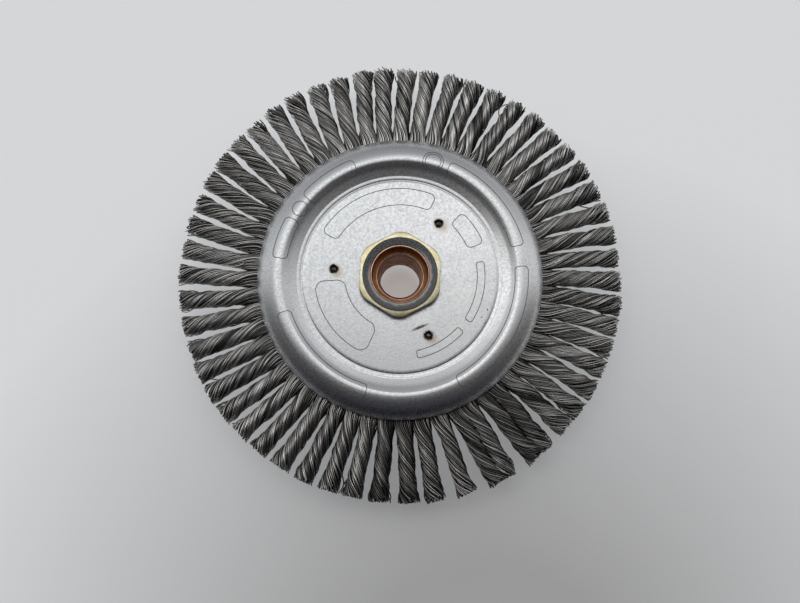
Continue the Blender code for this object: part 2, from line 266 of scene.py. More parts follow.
def nut_face():
    """The nut's dark face, painted lighter towards -Y as painted light, and lighter round the sleeve on
    that side, partly wear and partly painted light.
    """
    s = Shade("nut_face")
    cloud = s.noise(0.7, 4.0, 0.65)
    grain = s.noise(2.6, 3.0, 0.65)
    colour = s.mix(s.ramp(grain, 0.42, 0.60), (0.028, 0.030, 0.030), (0.16, 0.165, 0.165))
    # Painted light: the face grows lighter away from a point up and left of the hub, towards -Y.
    side = s.math("ADD", s.distance(-6.0 * MM, 20.0 * MM, MID_Z), s.math("MULTIPLY", cloud, 9.0 * MM))
    colour = s.mix(s.ramp(side, 20.0 * MM, 40.0 * MM, 0.0, 0.6), colour, (0.17, 0.175, 0.17))
    rubbed = s.math("ADD", s.from_axis(), s.math("MULTIPLY", cloud, 1.6 * MM))
    inner = s.ramp(rubbed, 11.1 * MM, 11.9 * MM, 0.65, 0.0)
    # The lighter ring round the sleeve is partly wear and partly painted light, shown only on the -Y
    # side.
    wear_and_painted_light = s.math("MULTIPLY", inner, s.ramp(side, 22.0 * MM, 30.0 * MM))
    colour = s.mix(wear_and_painted_light, colour, (0.50, 0.48, 0.45))
    normal = s.bump(grain, 0.05 * MM, 0.5)
    return s.metal(colour, s.ramp(grain, 0.3, 0.7, 0.34, 0.55), normal)


def nut_chromate():
    s = Shade("nut_chromate")
    cloud = s.noise(0.5, 3.0, 0.6)
    grain = s.noise(3.0, 3.0, 0.6)
    colour = s.mix(s.ramp(cloud, 0.38, 0.62), (0.86, 0.76, 0.44), (0.97, 0.92, 0.70))
    colour = s.mix(s.ramp(grain, 0.58, 0.72, 0.0, 0.4), colour, (0.45, 0.37, 0.20))
    normal = s.bump(grain, 0.03 * MM, 0.4)
    return s.metal(colour, s.ramp(grain, 0.3, 0.7, 0.30, 0.45), normal)


def copper(name, light, dark, low, high, metallic=1.0):
    s = Shade(name)
    cloud = s.noise(0.35, 4.0, 0.6)
    turning = s.noise(1.0, 2.0, 0.5, s.stretched((0.2, 0.2, 5.0)))
    colour = s.mix(s.ramp(cloud, 0.3, 0.7), light, dark)
    colour = s.mix(s.ramp(turning, 0.45, 0.75, 0.0, 0.4), colour, dark)
    normal = s.bump(turning, 0.04 * MM, 0.4)
    s.metal(colour, s.ramp(turning, 0.3, 0.7, low, high), normal)
    s.shader.inputs["Metallic"].default_value = metallic
    return s.material


def plain_steel():
    s = Shade("bare_steel")
    cloud = s.noise(0.2, 4.0, 0.6)
    grain = s.noise(2.0, 3.0, 0.6)
    colour = s.mix(s.ramp(cloud, 0.35, 0.65), (0.33, 0.32, 0.31), (0.45, 0.44, 0.43))
    return s.metal(colour, s.ramp(grain, 0.3, 0.7, 0.35, 0.55), s.bump(grain, 0.03 * MM, 0.4))


def wire_steel():
    s = Shade("knot_wire")
    # wire_tone is random per wire, and painted dark on the wires inside each leg as painted shade.
    tone = s.node("ShaderNodeAttribute", attribute_name="wire_tone").outputs["Fac"]
    stain = s.noise(0.18, 3.0, 0.6)
    colour = s.mix(tone, (0.035, 0.034, 0.032), (0.78, 0.77, 0.75))
    colour = s.mix(s.ramp(stain, 0.5, 0.75, 0.0, 0.3), colour, (0.24, 0.20, 0.165))
    # Painted shade: the wires darken low down near the plates' rims, and the lower wires darken
    # everywhere.
    level = s.distance_from_middle()
    shade_by_rim = s.ramp(s.from_axis(), 50.5 * MM, 57.5 * MM, 1.0, 0.0)
    shade_by_rim = s.math("MULTIPLY", s.ramp(level, 0.1 * MM, 2.3 * MM, 0.93, 0.0), shade_by_rim)
    painted_wire_shade = s.math("MAXIMUM", shade_by_rim, s.ramp(level, -1.6 * MM, 1.5 * MM, 0.5, 0.0))
    colour = s.mix(painted_wire_shade, colour, (0.035, 0.032, 0.030))
    # Painted shade: the wires darken towards -Y, less so on the light ones.
    shade_towards_minus_y = s.ramp(s.distance(0.012, -0.075, MID_Z), 0.030, 0.074, 0.62, 0.0)
    shade_towards_minus_y = s.math("MULTIPLY", shade_towards_minus_y, s.ramp(tone, 0.45, 0.95, 1.1, 0.5))
    colour = s.mix(shade_towards_minus_y, colour, (0.030, 0.028, 0.026))
    return s.metal(colour, s.ramp(tone, 0.0, 1.0, 0.30, 0.18))


def floor_surface():
    """Pale paper that glows as painted light, dimmer towards -Y and darker and warmer under the bore as
    painted shade.
    """
    s = Shade("floor_paper")
    grain = s.noise(0.8, 2.0, 0.5)
    shade = s.distance(0.03, -0.142, 0.0)
    # The floor glows as painted light, dimmer towards -Y as painted shade.
    glow = s.node("ShaderNodeMapRange")
    for socket, number in zip(glow.inputs, (shade, 0.045, 0.20, 0.0, 1.0)):
        s.put(socket, number)
    s.put(s.shader.inputs["Base Color"], (0.46, 0.46, 0.46))
    glow = s.mix(glow.outputs[0], (0.135, 0.136, 0.138), (0.475, 0.483, 0.492))
    # Painted shade: the glow is darker and warmer under the bore.
    in_bore = s.ramp(s.distance(0.0, -2.0 * MM, 0.0), 5.0 * MM, 9.5 * MM, 0.45, 0.0)
    s.put(s.shader.inputs["Emission Color"], s.mix(in_bore, glow, (0.24, 0.19, 0.16)))
    s.shader.inputs["Emission Strength"].default_value = 1.0
    s.shader.inputs["Roughness"].default_value = 0.9
    s.shader.inputs["Specular IOR Level"].default_value = 0.2
    s.put(s.shader.inputs["Normal"], s.bump(grain, 0.05 * MM, 0.1))
    return s.material


ZINC = zinc_plate("zinc_plate_front", True)
ZINC_BACK = zinc_plate("zinc_plate_back", False)
WELD_DARK = grained_metal(
    "weld_dark", 3.0, (0.4, 0.7), (0.012, 0.010, 0.010), (0.10, 0.07, 0.05), (0.4, 0.6), 0.08, 0.7
)
WELD_NUGGET = grained_metal(
    "weld_nugget", 2.2, (0.4, 0.65), (0.03, 0.03, 0.035), (0.27, 0.29, 0.34), (0.25, 0.4), 0.08, 0.6
)
WELD_LIP = grained_metal(
    "weld_lip", 2.0, (0.38, 0.62), (0.05, 0.035, 0.025), (0.42, 0.37, 0.32), (0.4, 0.4), 0.05, 0.6
)
STAMPED = grained_metal(
    "stamped_line", 1.6, (0.35, 0.65), (0.12, 0.125, 0.135), (0.24, 0.245, 0.255), (0.3, 0.45),
    0.03, 0.4,
)
# Painted shade: a dark copy of the chromate for the nut's walls and underside.
NUT_SIDE = grained_metal(
    "nut_side", 1.2, (0.35, 0.68), (0.07, 0.055, 0.035), (0.26, 0.22, 0.13), (0.35, 0.5), 0.04, 0.4
)
NUT_FACE = nut_face()
NUT_CHROMATE = nut_chromate()
COPPER = copper("copper_bright", (0.93, 0.58, 0.48), (0.78, 0.42, 0.32), 0.20, 0.34)
COPPER_BORE = copper("copper_bore", (0.72, 0.52, 0.44), (0.46, 0.33, 0.26), 0.22, 0.40, 0.7)
# Dark, dull copper for the counterbore's wall and step: painted shade in the recess.
COPPER_BROWN = copper("copper_brown", (0.36, 0.15, 0.03), (0.20, 0.075, 0.012), 0.25, 0.42, 0.25)
STEEL = plain_steel()
WIRE = wire_steel()


# ---------------------------------------------------------------- meshes


def add_object(name, mesh, materials):
    piece = bpy.data.objects.new(name, mesh)
    bpy.context.scene.collection.objects.link(piece)
    for material in materials:
        mesh.materials.append(material)
    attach(piece, "root")
    return piece


def mesh_from_arrays(name, points, quads, ends=()):
    """A smooth mesh from (n, 3) points and (m, 4) corner numbers, with further faces in ends."""
    faces = [quads.reshape(-1)] + [np.asarray(end).reshape(-1) for end in ends]
    sizes = [np.full(len(quads), 4)] + [np.full(len(end), end.shape[1]) for end in ends]
    corners = np.concatenate(faces).astype(np.int32)
    totals = np.concatenate(sizes).astype(np.int32)
    starts = np.concatenate(([0], np.cumsum(totals)[:-1])).astype(np.int32)
    mesh = bpy.data.meshes.new(name)
    mesh.vertices.add(len(points))
    mesh.vertices.foreach_set("co", np.asarray(points, np.float32).reshape(-1))
    mesh.loops.add(len(corners))
    mesh.loops.foreach_set("vertex_index", corners)
    mesh.polygons.add(len(totals))
    mesh.polygons.foreach_set("loop_start", starts)
    mesh.polygons.foreach_set("loop_total", totals)
    mesh.update(calc_edges=True)
    mesh.validate()
    mesh.shade_smooth()
    return mesh


def turned(name, stations, segments, sharp=30.0):
    """A closed section turned round the axis. A station is (radius, level), or a function of the
    angles that gives them.
    """
    angles = np.arange(segments) * 2.0 * math.pi / segments
    rings = []
    for station in stations:
        radius, level = station(angles) if callable(station) else station
        radius = np.broadcast_to(radius, angles.shape)
        level = np.broadcast_to(level, angles.shape)
        rings.append(np.stack((radius * np.cos(angles), radius * np.sin(angles), MID_Z + level), 1))
    points = np.concatenate(rings)
    count = len(stations)
    ring, step = np.meshgrid(np.arange(count), np.arange(segments), indexing="ij")
    here = ring * segments + step
    across = (ring + 1) % count * segments + step
    beyond = (ring + 1) % count * segments + (step + 1) % segments
    along = ring * segments + (step + 1) % segments
    quads = np.stack((here, along, beyond, across), 2).reshape(-1, 4)
    mesh = mesh_from_arrays(name, points, quads)
    face_outward(mesh)
    mesh.set_sharp_from_angle(angle=math.radians(sharp))
    return mesh


def face_outward(mesh):
    bm = bmesh.new()
    bm.from_mesh(mesh)
    if bm.calc_volume(signed=True) < 0.0:
        bmesh.ops.reverse_faces(bm, faces=bm.faces)
    bm.to_mesh(mesh)
    bm.free()


def curve_points(rows, steps):
    """A smooth run of (radius, level) points through the rows."""
    rows = [Vector(row) for row in rows]
    ends = [2.0 * rows[0] - rows[1]] + rows + [2.0 * rows[-1] - rows[-2]]
    points = []
    for a, b, c, d in zip(ends, ends[1:], ends[2:], ends[3:]):
        for step in range(steps):
            t = step / steps
            points.append(0.5 * (
                2.0 * b + (c - a) * t + (2.0 * a - 5.0 * b + 4.0 * c - d) * t * t
                + (3.0 * b - a - 3.0 * c + d) * t**3
            ))
    return [tuple(point) for point in points + [rows[-1]]]


def plate_surface():
    """The plate's outside from the coined groove round the flat over the ridge to the rim."""
    rise = RIDGE_LEVEL - FLAT_LEVEL
    rows = [
        (32.3 * MM, FLAT_LEVEL),
        (32.8 * MM, FLAT_LEVEL - 0.05 * MM),
        (33.3 * MM, FLAT_LEVEL - 0.17 * MM),
        (33.8 * MM, FLAT_LEVEL - 0.05 * MM),
        (34.3 * MM, FLAT_LEVEL),
        (34.8 * MM, FLAT_LEVEL + 0.03 * MM),
        (35.3 * MM, FLAT_LEVEL + 0.17 * MM),
        (36.2 * MM, FLAT_LEVEL + 0.22 * rise),
        (37.4 * MM, FLAT_LEVEL + 0.42 * rise),
        (38.4 * MM, FLAT_LEVEL + 0.67 * rise),
        (39.1 * MM, FLAT_LEVEL + 0.84 * rise),
        (39.75 * MM, RIDGE_LEVEL - 0.08 * MM),
    ]
    outer_run = PLATE_RADIUS - RIDGE_RADIUS
    fall = RIDGE_LEVEL - PLATE_RIM_LEVEL
    for share in (0.0, 0.08, 0.18, 0.3, 0.45, 0.6, 0.75, 0.88, 0.97):
        drop = fall * (0.9 * share**1.95 + 0.1 * share**5)
        rows.append((RIDGE_RADIUS + outer_run * share, RIDGE_LEVEL - drop))
    return curve_points(rows, 4)


def inward(points, distance):
    moved = []
    for i, (radius, level) in enumerate(points):
        before = points[max(i - 1, 0)]
        after = points[min(i + 1, len(points) - 1)]
        run = Vector((after[0] - before[0], after[1] - before[1])).normalized()
        moved.append((radius + run.y * distance, level - run.x * distance))
    return moved


def make_plate(name, node, hole_radius, side):
    """A plate of the wheel; side is 1 for the front one and -1 for the back one, its mirror image."""
    flat = [(hole_radius + (FLAT_END_RADIUS - hole_radius) * i / 6.0, FLAT_LEVEL) for i in range(7)]
    outside = flat + plate_surface()
    inside = inward(outside, PLATE_THICKNESS)
    rim_middle = (Vector(outside[-1]) + Vector(inside[-1])) * 0.5
    nose = rim_middle + Vector((0.28 * MM, -0.22 * MM))
    stations = outside + [tuple(nose)] + inside[::-1]
    mesh = turned(name, [(radius, side * level) for radius, level in stations], 288, 50.0)
    piece = add_object(name, mesh, [ZINC if side > 0.0 else ZINC_BACK])
    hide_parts(node)
    return piece


front_plate = make_plate("front_plate_pressing", "front_plate", FRONT_HOLE_RADIUS, 1.0)
make_plate("back_plate_pressing", "back_plate", BACK_HOLE_RADIUS, -1.0)


# ---------------------------------------------------------------- spot welds and stamped lines


STAMPED_LINE_RADIUS = 0.15 * MM
STAMPED_LINE_DEPTH = 0.035 * MM
WELD_PIT_RADIUS = 1.42 * MM
WELD_PIT_DEPTH = 0.75 * MM
WELD_LIP_RADIUS = 1.46 * MM
NUGGET_RADIUS = 0.8 * MM
NUGGET_BOTTOM = -0.85 * MM
WELD_SEED = 70


def weld_raggedness(turn, number):
    """How far a weld's edge is from round, as a factor."""
    return 1.0 + 0.07 * math.sin(3.0 * turn + 2.0 * number) + 0.04 * math.sin(5.0 * turn)


def on_plate(degrees, radius, above=0.0):
    """A point on the front plate's outside, or above it, by its angle from +X and its radius."""
    outside = [(0.0, FLAT_LEVEL)] + plate_surface()
    level = np.interp(radius, [r for r, _ in outside], [height for _, height in outside])
    angle = math.radians(degrees)
    return np.array((radius * math.cos(angle), radius * math.sin(angle), MID_Z + level + above))


def cut_pits(plate):
    """The pits of the spot welds, cut into the plate."""
    bm = bmesh.new()
    for number, degrees in enumerate(WELD_ANGLES):
        middle = Vector(on_plate(degrees, WELD_RADIUS, 0.12 * MM))
        made = bmesh.ops.create_uvsphere(bm, u_segments=28, v_segments=16, radius=1.0)
        for vert in made["verts"]:
            ragged = weld_raggedness(math.atan2(vert.co.y, vert.co.x), number)
            vert.co.x *= WELD_PIT_RADIUS * ragged
            vert.co.y *= WELD_PIT_RADIUS * ragged
            vert.co.z *= WELD_PIT_DEPTH
            vert.co += middle
    mesh = bpy.data.meshes.new("weld_pits")
    bm.to_mesh(mesh)
    bm.free()
    mesh.materials.append(WELD_DARK)
    cutter = bpy.data.objects.new("weld_pits", mesh)
    bpy.context.scene.collection.objects.link(cutter)
    plate.data.materials.append(WELD_DARK)
    cut = plate.modifiers.new("pits", "BOOLEAN")
    cut.operation = "DIFFERENCE"
    cut.solver = "EXACT"
    cut.material_mode = "TRANSFER"
    cut.object = cutter
    graph = bpy.context.evaluated_depsgraph_get()
    pitted = bpy.data.meshes.new_from_object(plate.evaluated_get(graph), depsgraph=graph)
    plate.modifiers.clear()
    plate.data = pitted
    bpy.data.objects.remove(cutter, do_unlink=True)
    pitted.set_sharp_from_angle(angle=math.radians(40.0))


def make_weld(number, degrees):
    """A weld's shiny nugget in the pit, and its thin ragged lip."""
    chance = np.random.default_rng(WELD_SEED + number)
    middle = on_plate(degrees, WELD_RADIUS)
    waves = chance.random(4) * 2.0 * math.pi
    points, quads = [], []
    rings, segments = 9, 40
    for ring in range(rings):
        share = ring / (rings - 1)
        for step in range(segments):
            turn = 2.0 * math.pi * step / segments
            ragged = 0.10 * math.sin(2.0 * turn + waves[0]) + 0.08 * math.sin(5.0 * turn + waves[1])
            reach = (0.80 + 0.5 * ragged) * share * MM
            height = (0.34 * (1.0 - share**2) ** 0.5 - 0.62 + 0.05 * ragged) * MM
            points.append((reach * math.cos(turn), reach * math.sin(turn), height))
    for step in range(segments):
        turn = 2.0 * math.pi * step / segments
        points.append((NUGGET_RADIUS * math.cos(turn), NUGGET_RADIUS * math.sin(turn), NUGGET_BOTTOM))
    for ring in range(rings):
        for step in range(segments):
            here, beside = ring * segments + step, ring * segments + (step + 1) % segments
            quads.append((here, here + segments, beside + segments, beside))
    bottom = [rings * segments + step for step in range(segments)][::-1]
    points = np.array(points) + middle
    name = f"weld_nugget_{number + 1}"
    mesh = mesh_from_arrays(name, points, np.array(quads), (np.array([bottom]),))
    bm = bmesh.new()
    bm.from_mesh(mesh)
    bmesh.ops.remove_doubles(bm, verts=bm.verts, dist=0.001 * MM)
    bmesh.ops.recalc_face_normals(bm, faces=bm.faces)
    bm.to_mesh(mesh)
    bm.free()
    add_object(name, mesh, [WELD_NUGGET])
    turns = np.linspace(0.0, 2.0 * math.pi, 64, endpoint=False)
    ragged = np.array([weld_raggedness(turn, number) for turn in turns])
    reach = WELD_LIP_RADIUS * ragged + 0.05 * MM * np.sin(9.0 * turns + waves[2])
    path = np.stack((reach * np.cos(turns), reach * np.sin(turns), 0.0 * turns), 1) + middle
    thick = (0.10 + 0.07 * np.sin(2.0 * turns + waves[3]) ** 2) * MM
    name = f"weld_lip_{number + 1}"
    add_object(name, loop_tube(name, path, thick), [WELD_LIP])


def loop_tube(name, path, radius, sides=6):
    """A closed tube along a closed path; the radius may vary along it."""
    along = np.roll(path, -1, 0) - np.roll(path, 1, 0)
    along /= np.linalg.norm(along, axis=1, keepdims=True)
    first = np.cross(along, (0.0, 0.0, 1.0))
    first /= np.linalg.norm(first, axis=1, keepdims=True)
    second = np.cross(first, along)
    turn = np.arange(sides) * 2.0 * math.pi / sides
    thick = np.broadcast_to(radius, len(path))[:, None, None]
    corners = path[:, None] + thick * (
        np.cos(turn)[None, :, None] * first[:, None] + np.sin(turn)[None, :, None] * second[:, None]
    )
    station, side = np.meshgrid(np.arange(len(path)), np.arange(sides), indexing="ij")
    beyond = (station + 1) % len(path)
    beside = (side + 1) % sides
    quads = np.stack((
        station * sides + side, beyond * sides + side, beyond * sides + beside, station * sides + beside
    ), 2).reshape(-1, 4)
    mesh = mesh_from_arrays(name, corners.reshape(-1, 3), quads)
    face_outward(mesh)
    return mesh


def panel_outline(start, end, low, high):
    """The outline of a blank curved panel between two angles and two radii, its corners rounded."""
    middle = 0.5 * (low + high)
    half_run = math.radians(0.5 * abs(end - start)) * middle
    half_rise = 0.5 * (high - low)
    corner = 0.6 * half_rise
    points = []
    for turn in np.linspace(0.0, 2.0 * math.pi, 40, endpoint=False):
        run = math.copysign(half_run - corner, math.cos(turn)) + corner * math.cos(turn)
        rise = math.copysign(half_rise - corner, math.sin(turn)) + corner * math.sin(turn)
        points.append((run, rise))
    dense = []
    for (x0, y0), (x1, y1) in zip(points, points[1:] + points[:1]):
        steps = max(1, int(math.hypot(x1 - x0, y1 - y0) / (0.5 * MM)))
        dense += [(x0 + (x1 - x0) * k / steps, y0 + (y1 - y0) * k / steps) for k in range(steps)]
    centre = 0.5 * (start + end)
    return np.array([
        on_plate(centre + math.degrees(run / middle), middle + rise, -STAMPED_LINE_DEPTH)
        for run, rise in dense
    ])


def ring_outline(degrees, radius, size):
    """A circle of this size on the plate."""
    centre = on_plate(degrees, radius)
    points = []
    for turn in np.linspace(0.0, 2.0 * math.pi, 48, endpoint=False):
        x = centre[0] + size * math.cos(turn)
        y = centre[1] + size * math.sin(turn)
        points.append(on_plate(math.degrees(math.atan2(y, x)), math.hypot(x, y), -STAMPED_LINE_DEPTH))
    return np.array(points)


# Blank stamped panels: start and end angle in degrees, inner and outer radius in mm.
PANELS = (
    (66.0, 150.0, 24.6, 30.4), (22.0, 46.0, 24.8, 30.4), (184.0, 246.0, 18.6, 28.8),
    (-34.0, 10.0, 26.0, 28.6), (-78.0, -42.0, 26.0, 28.6), (14.0, 66.0, 38.6, 43.0),
    (-62.0, 4.0, 38.6, 43.0), (112.0, 140.0, 38.0, 43.4), (152.0, 172.0, 38.4, 43.4),
    (198.0, 254.0, 38.4, 43.2),
)
# Stamped rings: angle in degrees, distance from the axis and the ring's own radius in mm.
RINGS = ((74.0, 41.0, 3.5), (74.0, 41.0, 2.7), (146.0, 40.8, 2.6))


def make_marks():
    paths = [panel_outline(start, end, low * MM, high * MM) for start, end, low, high in PANELS]
    paths += [ring_outline(degrees, radius * MM, size * MM) for degrees, radius, size in RINGS]
    for number, path in enumerate(paths, 1):
        line = loop_tube("stamped_line", path, STAMPED_LINE_RADIUS)
        add_object(f"stamped_line_{number:02d}", line, [STAMPED])


cut_pits(front_plate)
for number, degrees in enumerate(WELD_ANGLES):
    make_weld(number, degrees)
make_marks()


# ---------------------------------------------------------------- hub


def nut_radius(angles):
    """The radius of the nut's hexagon, whose corners are turned down and softened."""
    turn = np.mod(angles - NUT_TURN + math.pi / 6.0, math.pi / 3.0) - math.pi / 6.0
    sharp = NUT_HALF_FLATS / np.cos(turn)
    soft = 0.45 * MM
    blend = np.clip(0.5 + 0.5 * (NUT_CORNER_RADIUS - sharp) / soft, 0.0, 1.0)
    return NUT_CORNER_RADIUS + (sharp - NUT_CORNER_RADIUS) * blend - soft * blend * (1.0 - blend)


def make_nut():
    rounding = 0.20 * MM
    seat = FLAT_LEVEL + HUB_CLEARANCE

    def fall(radius):
        return 0.11 * MM * ((radius - NUT_FACE_RADIUS) / MM) ** 1.6

    def chamfer(share):
        def station(angles):
            radius = NUT_FACE_RADIUS + (nut_radius(angles) - rounding - NUT_FACE_RADIUS) * share
            return radius, NUT_LEVEL - fall(radius) - 0.03 * MM
        return station

    stations = [
        (SLEEVE_RADIUS + HUB_CLEARANCE, NUT_LEVEL - 0.15 * MM),
        (SLEEVE_RADIUS + 0.17 * MM, NUT_LEVEL),
        (NUT_FACE_RADIUS - 1.2 * MM, NUT_LEVEL),
        (NUT_FACE_RADIUS - 0.10 * MM, NUT_LEVEL),
    ]
    stations += [chamfer(share) for share in (0.0, 0.2, 0.4, 0.6, 0.8, 1.0)]
    stations += [
        lambda angles: (nut_radius(angles), NUT_LEVEL - fall(nut_radius(angles)) - rounding),
        lambda angles: (nut_radius(angles), seat + NUT_FOOT_CHAMFER),
        lambda angles: (nut_radius(angles) - NUT_FOOT_CHAMFER, seat),
        (NUT_SHANK_RADIUS, seat),
        (NUT_SHANK_RADIUS, NUT_SHANK_LEVEL),
        (SLEEVE_RADIUS + HUB_CLEARANCE, NUT_SHANK_LEVEL),
    ]
    mesh = turned("hex_nut", stations, 360, 40.0)
    piece = add_object("hex_nut", mesh, [NUT_CHROMATE, NUT_FACE, NUT_SIDE])
    for face in mesh.polygons:
        middle = face.center
        reach = math.hypot(middle.x, middle.y)
        on_top = reach < NUT_FACE_RADIUS - 0.04 * MM and face.normal.z > 0.5
        # The walls and underside take the dark nut_side as painted shade; the chamfers keep the
        # chromate.
        face.material_index = 1 if on_top else (2 if face.normal.z < 0.3 else 0)
    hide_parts("hub_nut")


def thread_radius(level, angles, start, end):
    """The radius of the internal thread, run out to its major radius at both ends."""
    turn = np.mod(level / THREAD_PITCH - angles / (2.0 * math.pi), 1.0)
    ramp = np.clip((np.abs(turn - 0.5) - 0.0625) / 0.375, 0.0, 1.0)
    radius = THREAD_MINOR_RADIUS + (THREAD_MAJOR_RADIUS - THREAD_MINOR_RADIUS) * ramp
    chamfer = np.maximum(0.0, THREAD_MAJOR_RADIUS - min(abs(start - level), abs(level - end)))
    return np.maximum(radius, chamfer)


def make_sleeve():
    floor = HUB_BACK_LEVEL
    thread_start = NUT_LEVEL - COUNTERBORE_DEPTH
    flange_top = -FLAT_LEVEL - HUB_CLEARANCE
    stations = [
        (FLANGE_RADIUS - 0.5 * MM, floor),
        (FLANGE_RADIUS - 0.12 * MM, floor + 0.12 * MM),
        (FLANGE_RADIUS, floor + 0.5 * MM),
        (FLANGE_RADIUS, flange_top - 0.2 * MM),
        (FLANGE_RADIUS - 0.2 * MM, flange_top),
        (SLEEVE_RADIUS, flange_top),
        (SLEEVE_RADIUS, NUT_LEVEL - 0.25 * MM),
        (SLEEVE_RADIUS - 0.08 * MM, NUT_LEVEL - 0.07 * MM),
        (SLEEVE_RADIUS - 0.25 * MM, NUT_LEVEL),
        (COUNTERBORE_RADIUS + 0.2 * MM, NUT_LEVEL - 0.01 * MM),
        (COUNTERBORE_RADIUS + 0.05 * MM, NUT_LEVEL - 0.15 * MM),
        (COUNTERBORE_RADIUS, NUT_LEVEL - 0.4 * MM),
        (COUNTERBORE_RADIUS, NUT_LEVEL - 2.4 * MM),
        (COUNTERBORE_RADIUS - 0.02 * MM, thread_start + 0.7 * MM),
        (COUNTERBORE_RADIUS - 0.5 * MM, thread_start + 0.12 * MM),
        (THREAD_MAJOR_RADIUS + 0.5 * MM, thread_start),
        (THREAD_MAJOR_RADIUS + 0.02 * MM, thread_start),
        (THREAD_MAJOR_RADIUS - 0.12 * MM, thread_start - 0.03 * MM),
    ]
    steps = int((thread_start - floor) / THREAD_STEP)
    for step in range(steps + 1):
        level = thread_start + (floor - thread_start) * step / steps
        stations.append(
            lambda angles, level=level: (thread_radius(level, angles, thread_start, floor), level)
        )
    stations.append((THREAD_MAJOR_RADIUS + 0.5 * MM, floor))
    mesh = turned("threaded_sleeve", stations, 144, 40.0)
    materials = [COPPER, COPPER_BROWN, COPPER_BORE]
    piece = add_object("threaded_sleeve", mesh, materials)
    low = MID_Z + thread_start - 0.03 * MM
    high = MID_Z + NUT_LEVEL - 0.28 * MM
    for face in mesh.polygons:
        middle = face.center
        reach = math.hypot(middle.x, middle.y)
        in_counterbore = THREAD_MAJOR_RADIUS - 0.02 * MM < reach < COUNTERBORE_RADIUS + 0.1 * MM
        # The counterbore's wall and step take the dark copper as painted shade; the bore below takes
        # the bore copper.
        if in_counterbore and low < middle.z < high:
            face.material_index = 1
        elif reach < THREAD_MAJOR_RADIUS and middle.z < low - 0.75 * MM:
            face.material_index = 2
    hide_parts("hub_sleeve")


make_nut()
make_sleeve()


# ---------------------------------------------------------------- knots

WIRE_RADIUS = 0.215 * MM
WIRE_PITCH = 0.61 * MM
WIRE_SIDES = 5
TRUNK_RINGS = 27
# Half of the knot's section, which one leg fills: how far it reaches from the knot's centre line,
# and its half width across that.
LEG_REACH = 2.75 * MM
LEG_HALF_WIDTH = 2.55 * MM
LAY = 23.5 * MM
TWIST_START = 49.4 * MM
TWIST_EASE = 4.0 * MM
FLARE_START = 64.0 * MM
FLARE = 0.27
PRESSED_UNTIL = 48.8 * MM
FREE_AFTER = 7.2 * MM  # beyond PRESSED_UNTIL
TIP_ALLOWANCE = 0.5 * MM
FIRST_ROW = 0.30 * MM
ROW_RISE = 0.875  # between rows, in wire pitches
WIRE_WAVE = 0.06 * MM
WIRE_WAVE_LENGTH = 1.5 * MM  # per radian
STRAY_HUMP = 0.16  # its length, as a share of the knot
TIP_STRAY = 0.7  # a stray that starts beyond this share of the knot stays out to its end
# The fold of the hank through the drilled ring, front half: radius from the axis, level,
# direction of its outer side in degrees from outwards towards the front, and size of the bundle.
FOLD = (
    (44.7 * MM, 2.65 * MM, 92.0, 0.86),
    (42.6 * MM, 2.75 * MM, 108.0, 0.76),
    (41.1 * MM, 1.70 * MM, 145.0, 0.68),
    (40.5 * MM, 0.0 * MM, 180.0, 0.62),
)


# Where a knot's centre line is read from its CAD node: radii from and to, and half width, in mm.
CENTRE_WINDOWS = ((49.0, 51.0, 2.5), (59.4, 61.6, 2.95), (74.6, 76.6, 3.6))


def knot_names(index):
    """The CAD node that holds this knot, and which of the node's knots it is."""
    single = f"knot_{index + 1:02d}"
    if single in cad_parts:
        return single, None
    first = f"knot_{index + 1:02d}_{index + 2:02d}"
    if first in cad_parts:
        return first, 0
    return f"knot_{index:02d}_{index + 1:02d}", 1


def middle_angle(points, low, high, which, half_width):
    """The angle of the knot's centre line where its radius is between low and high."""
    radius = np.hypot(points[:, 0], points[:, 1])
    near = points[(radius > low) & (radius < high)]
    around = near[:, :2].mean(0)
    base = math.atan2(around[1], around[0])
    angles = np.arctan2(near[:, 1], near[:, 0]) - base
    angles = np.arctan2(np.sin(angles), np.cos(angles))
    if which is None:
        return base + 0.5 * (angles.min() + angles.max())
    share = half_width / (0.5 * (low + high))
    return base + (angles.max() - share if which == 0 else angles.min() + share)


class Knot:
    """The centre line and the local directions of one knot."""

    def __init__(self, index):
        self.node, self.which = knot_names(index)
        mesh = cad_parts[self.node].data
        points = np.zeros(len(mesh.vertices) * 3, np.float32)
        mesh.vertices.foreach_get("co", points)
        points = points.reshape(-1, 3).astype(float)
        radius = np.hypot(points[:, 0], points[:, 1])
        self.tip_radius = radius.max()
        hole = math.pi / 2.0 - FIRST_KNOT_TURN - 2.0 * math.pi * index / KNOT_COUNT
        radii = [HOLE_CIRCLE_RADIUS]
        angles = [hole]
        for low, high, half_width in CENTRE_WINDOWS:
            angle = middle_angle(points, low * MM, high * MM, self.which, half_width * MM)
            radii.append(0.5 * (low + high) * MM)
            angles.append(hole + math.atan2(math.sin(angle - hole), math.cos(angle - hole)))
        self.angle_of = np.polynomial.Polynomial.fit(radii, angles, 3)
        self.slope_of = self.angle_of.deriv()

    def middle(self, radius):
        angle = self.angle_of(radius)
        return np.stack((radius * np.cos(angle), radius * np.sin(angle), 0.0 * radius + MID_Z), -1)

    def directions(self, radius):
        """Unit vectors along the centre line, to its clockwise side, and up."""
        angle = self.angle_of(radius)
        slope = radius * self.slope_of(radius)
        outward = np.stack((np.cos(angle), np.sin(angle), 0.0 * angle), -1)
        around = np.stack((-np.sin(angle), np.cos(angle), 0.0 * angle), -1)
        along = outward + slope[..., None] * around
        along /= np.linalg.norm(along, axis=-1, keepdims=True)
        up = np.broadcast_to(np.array((0.0, 0.0, 1.0)), along.shape)
        return along, np.cross(along, up), up


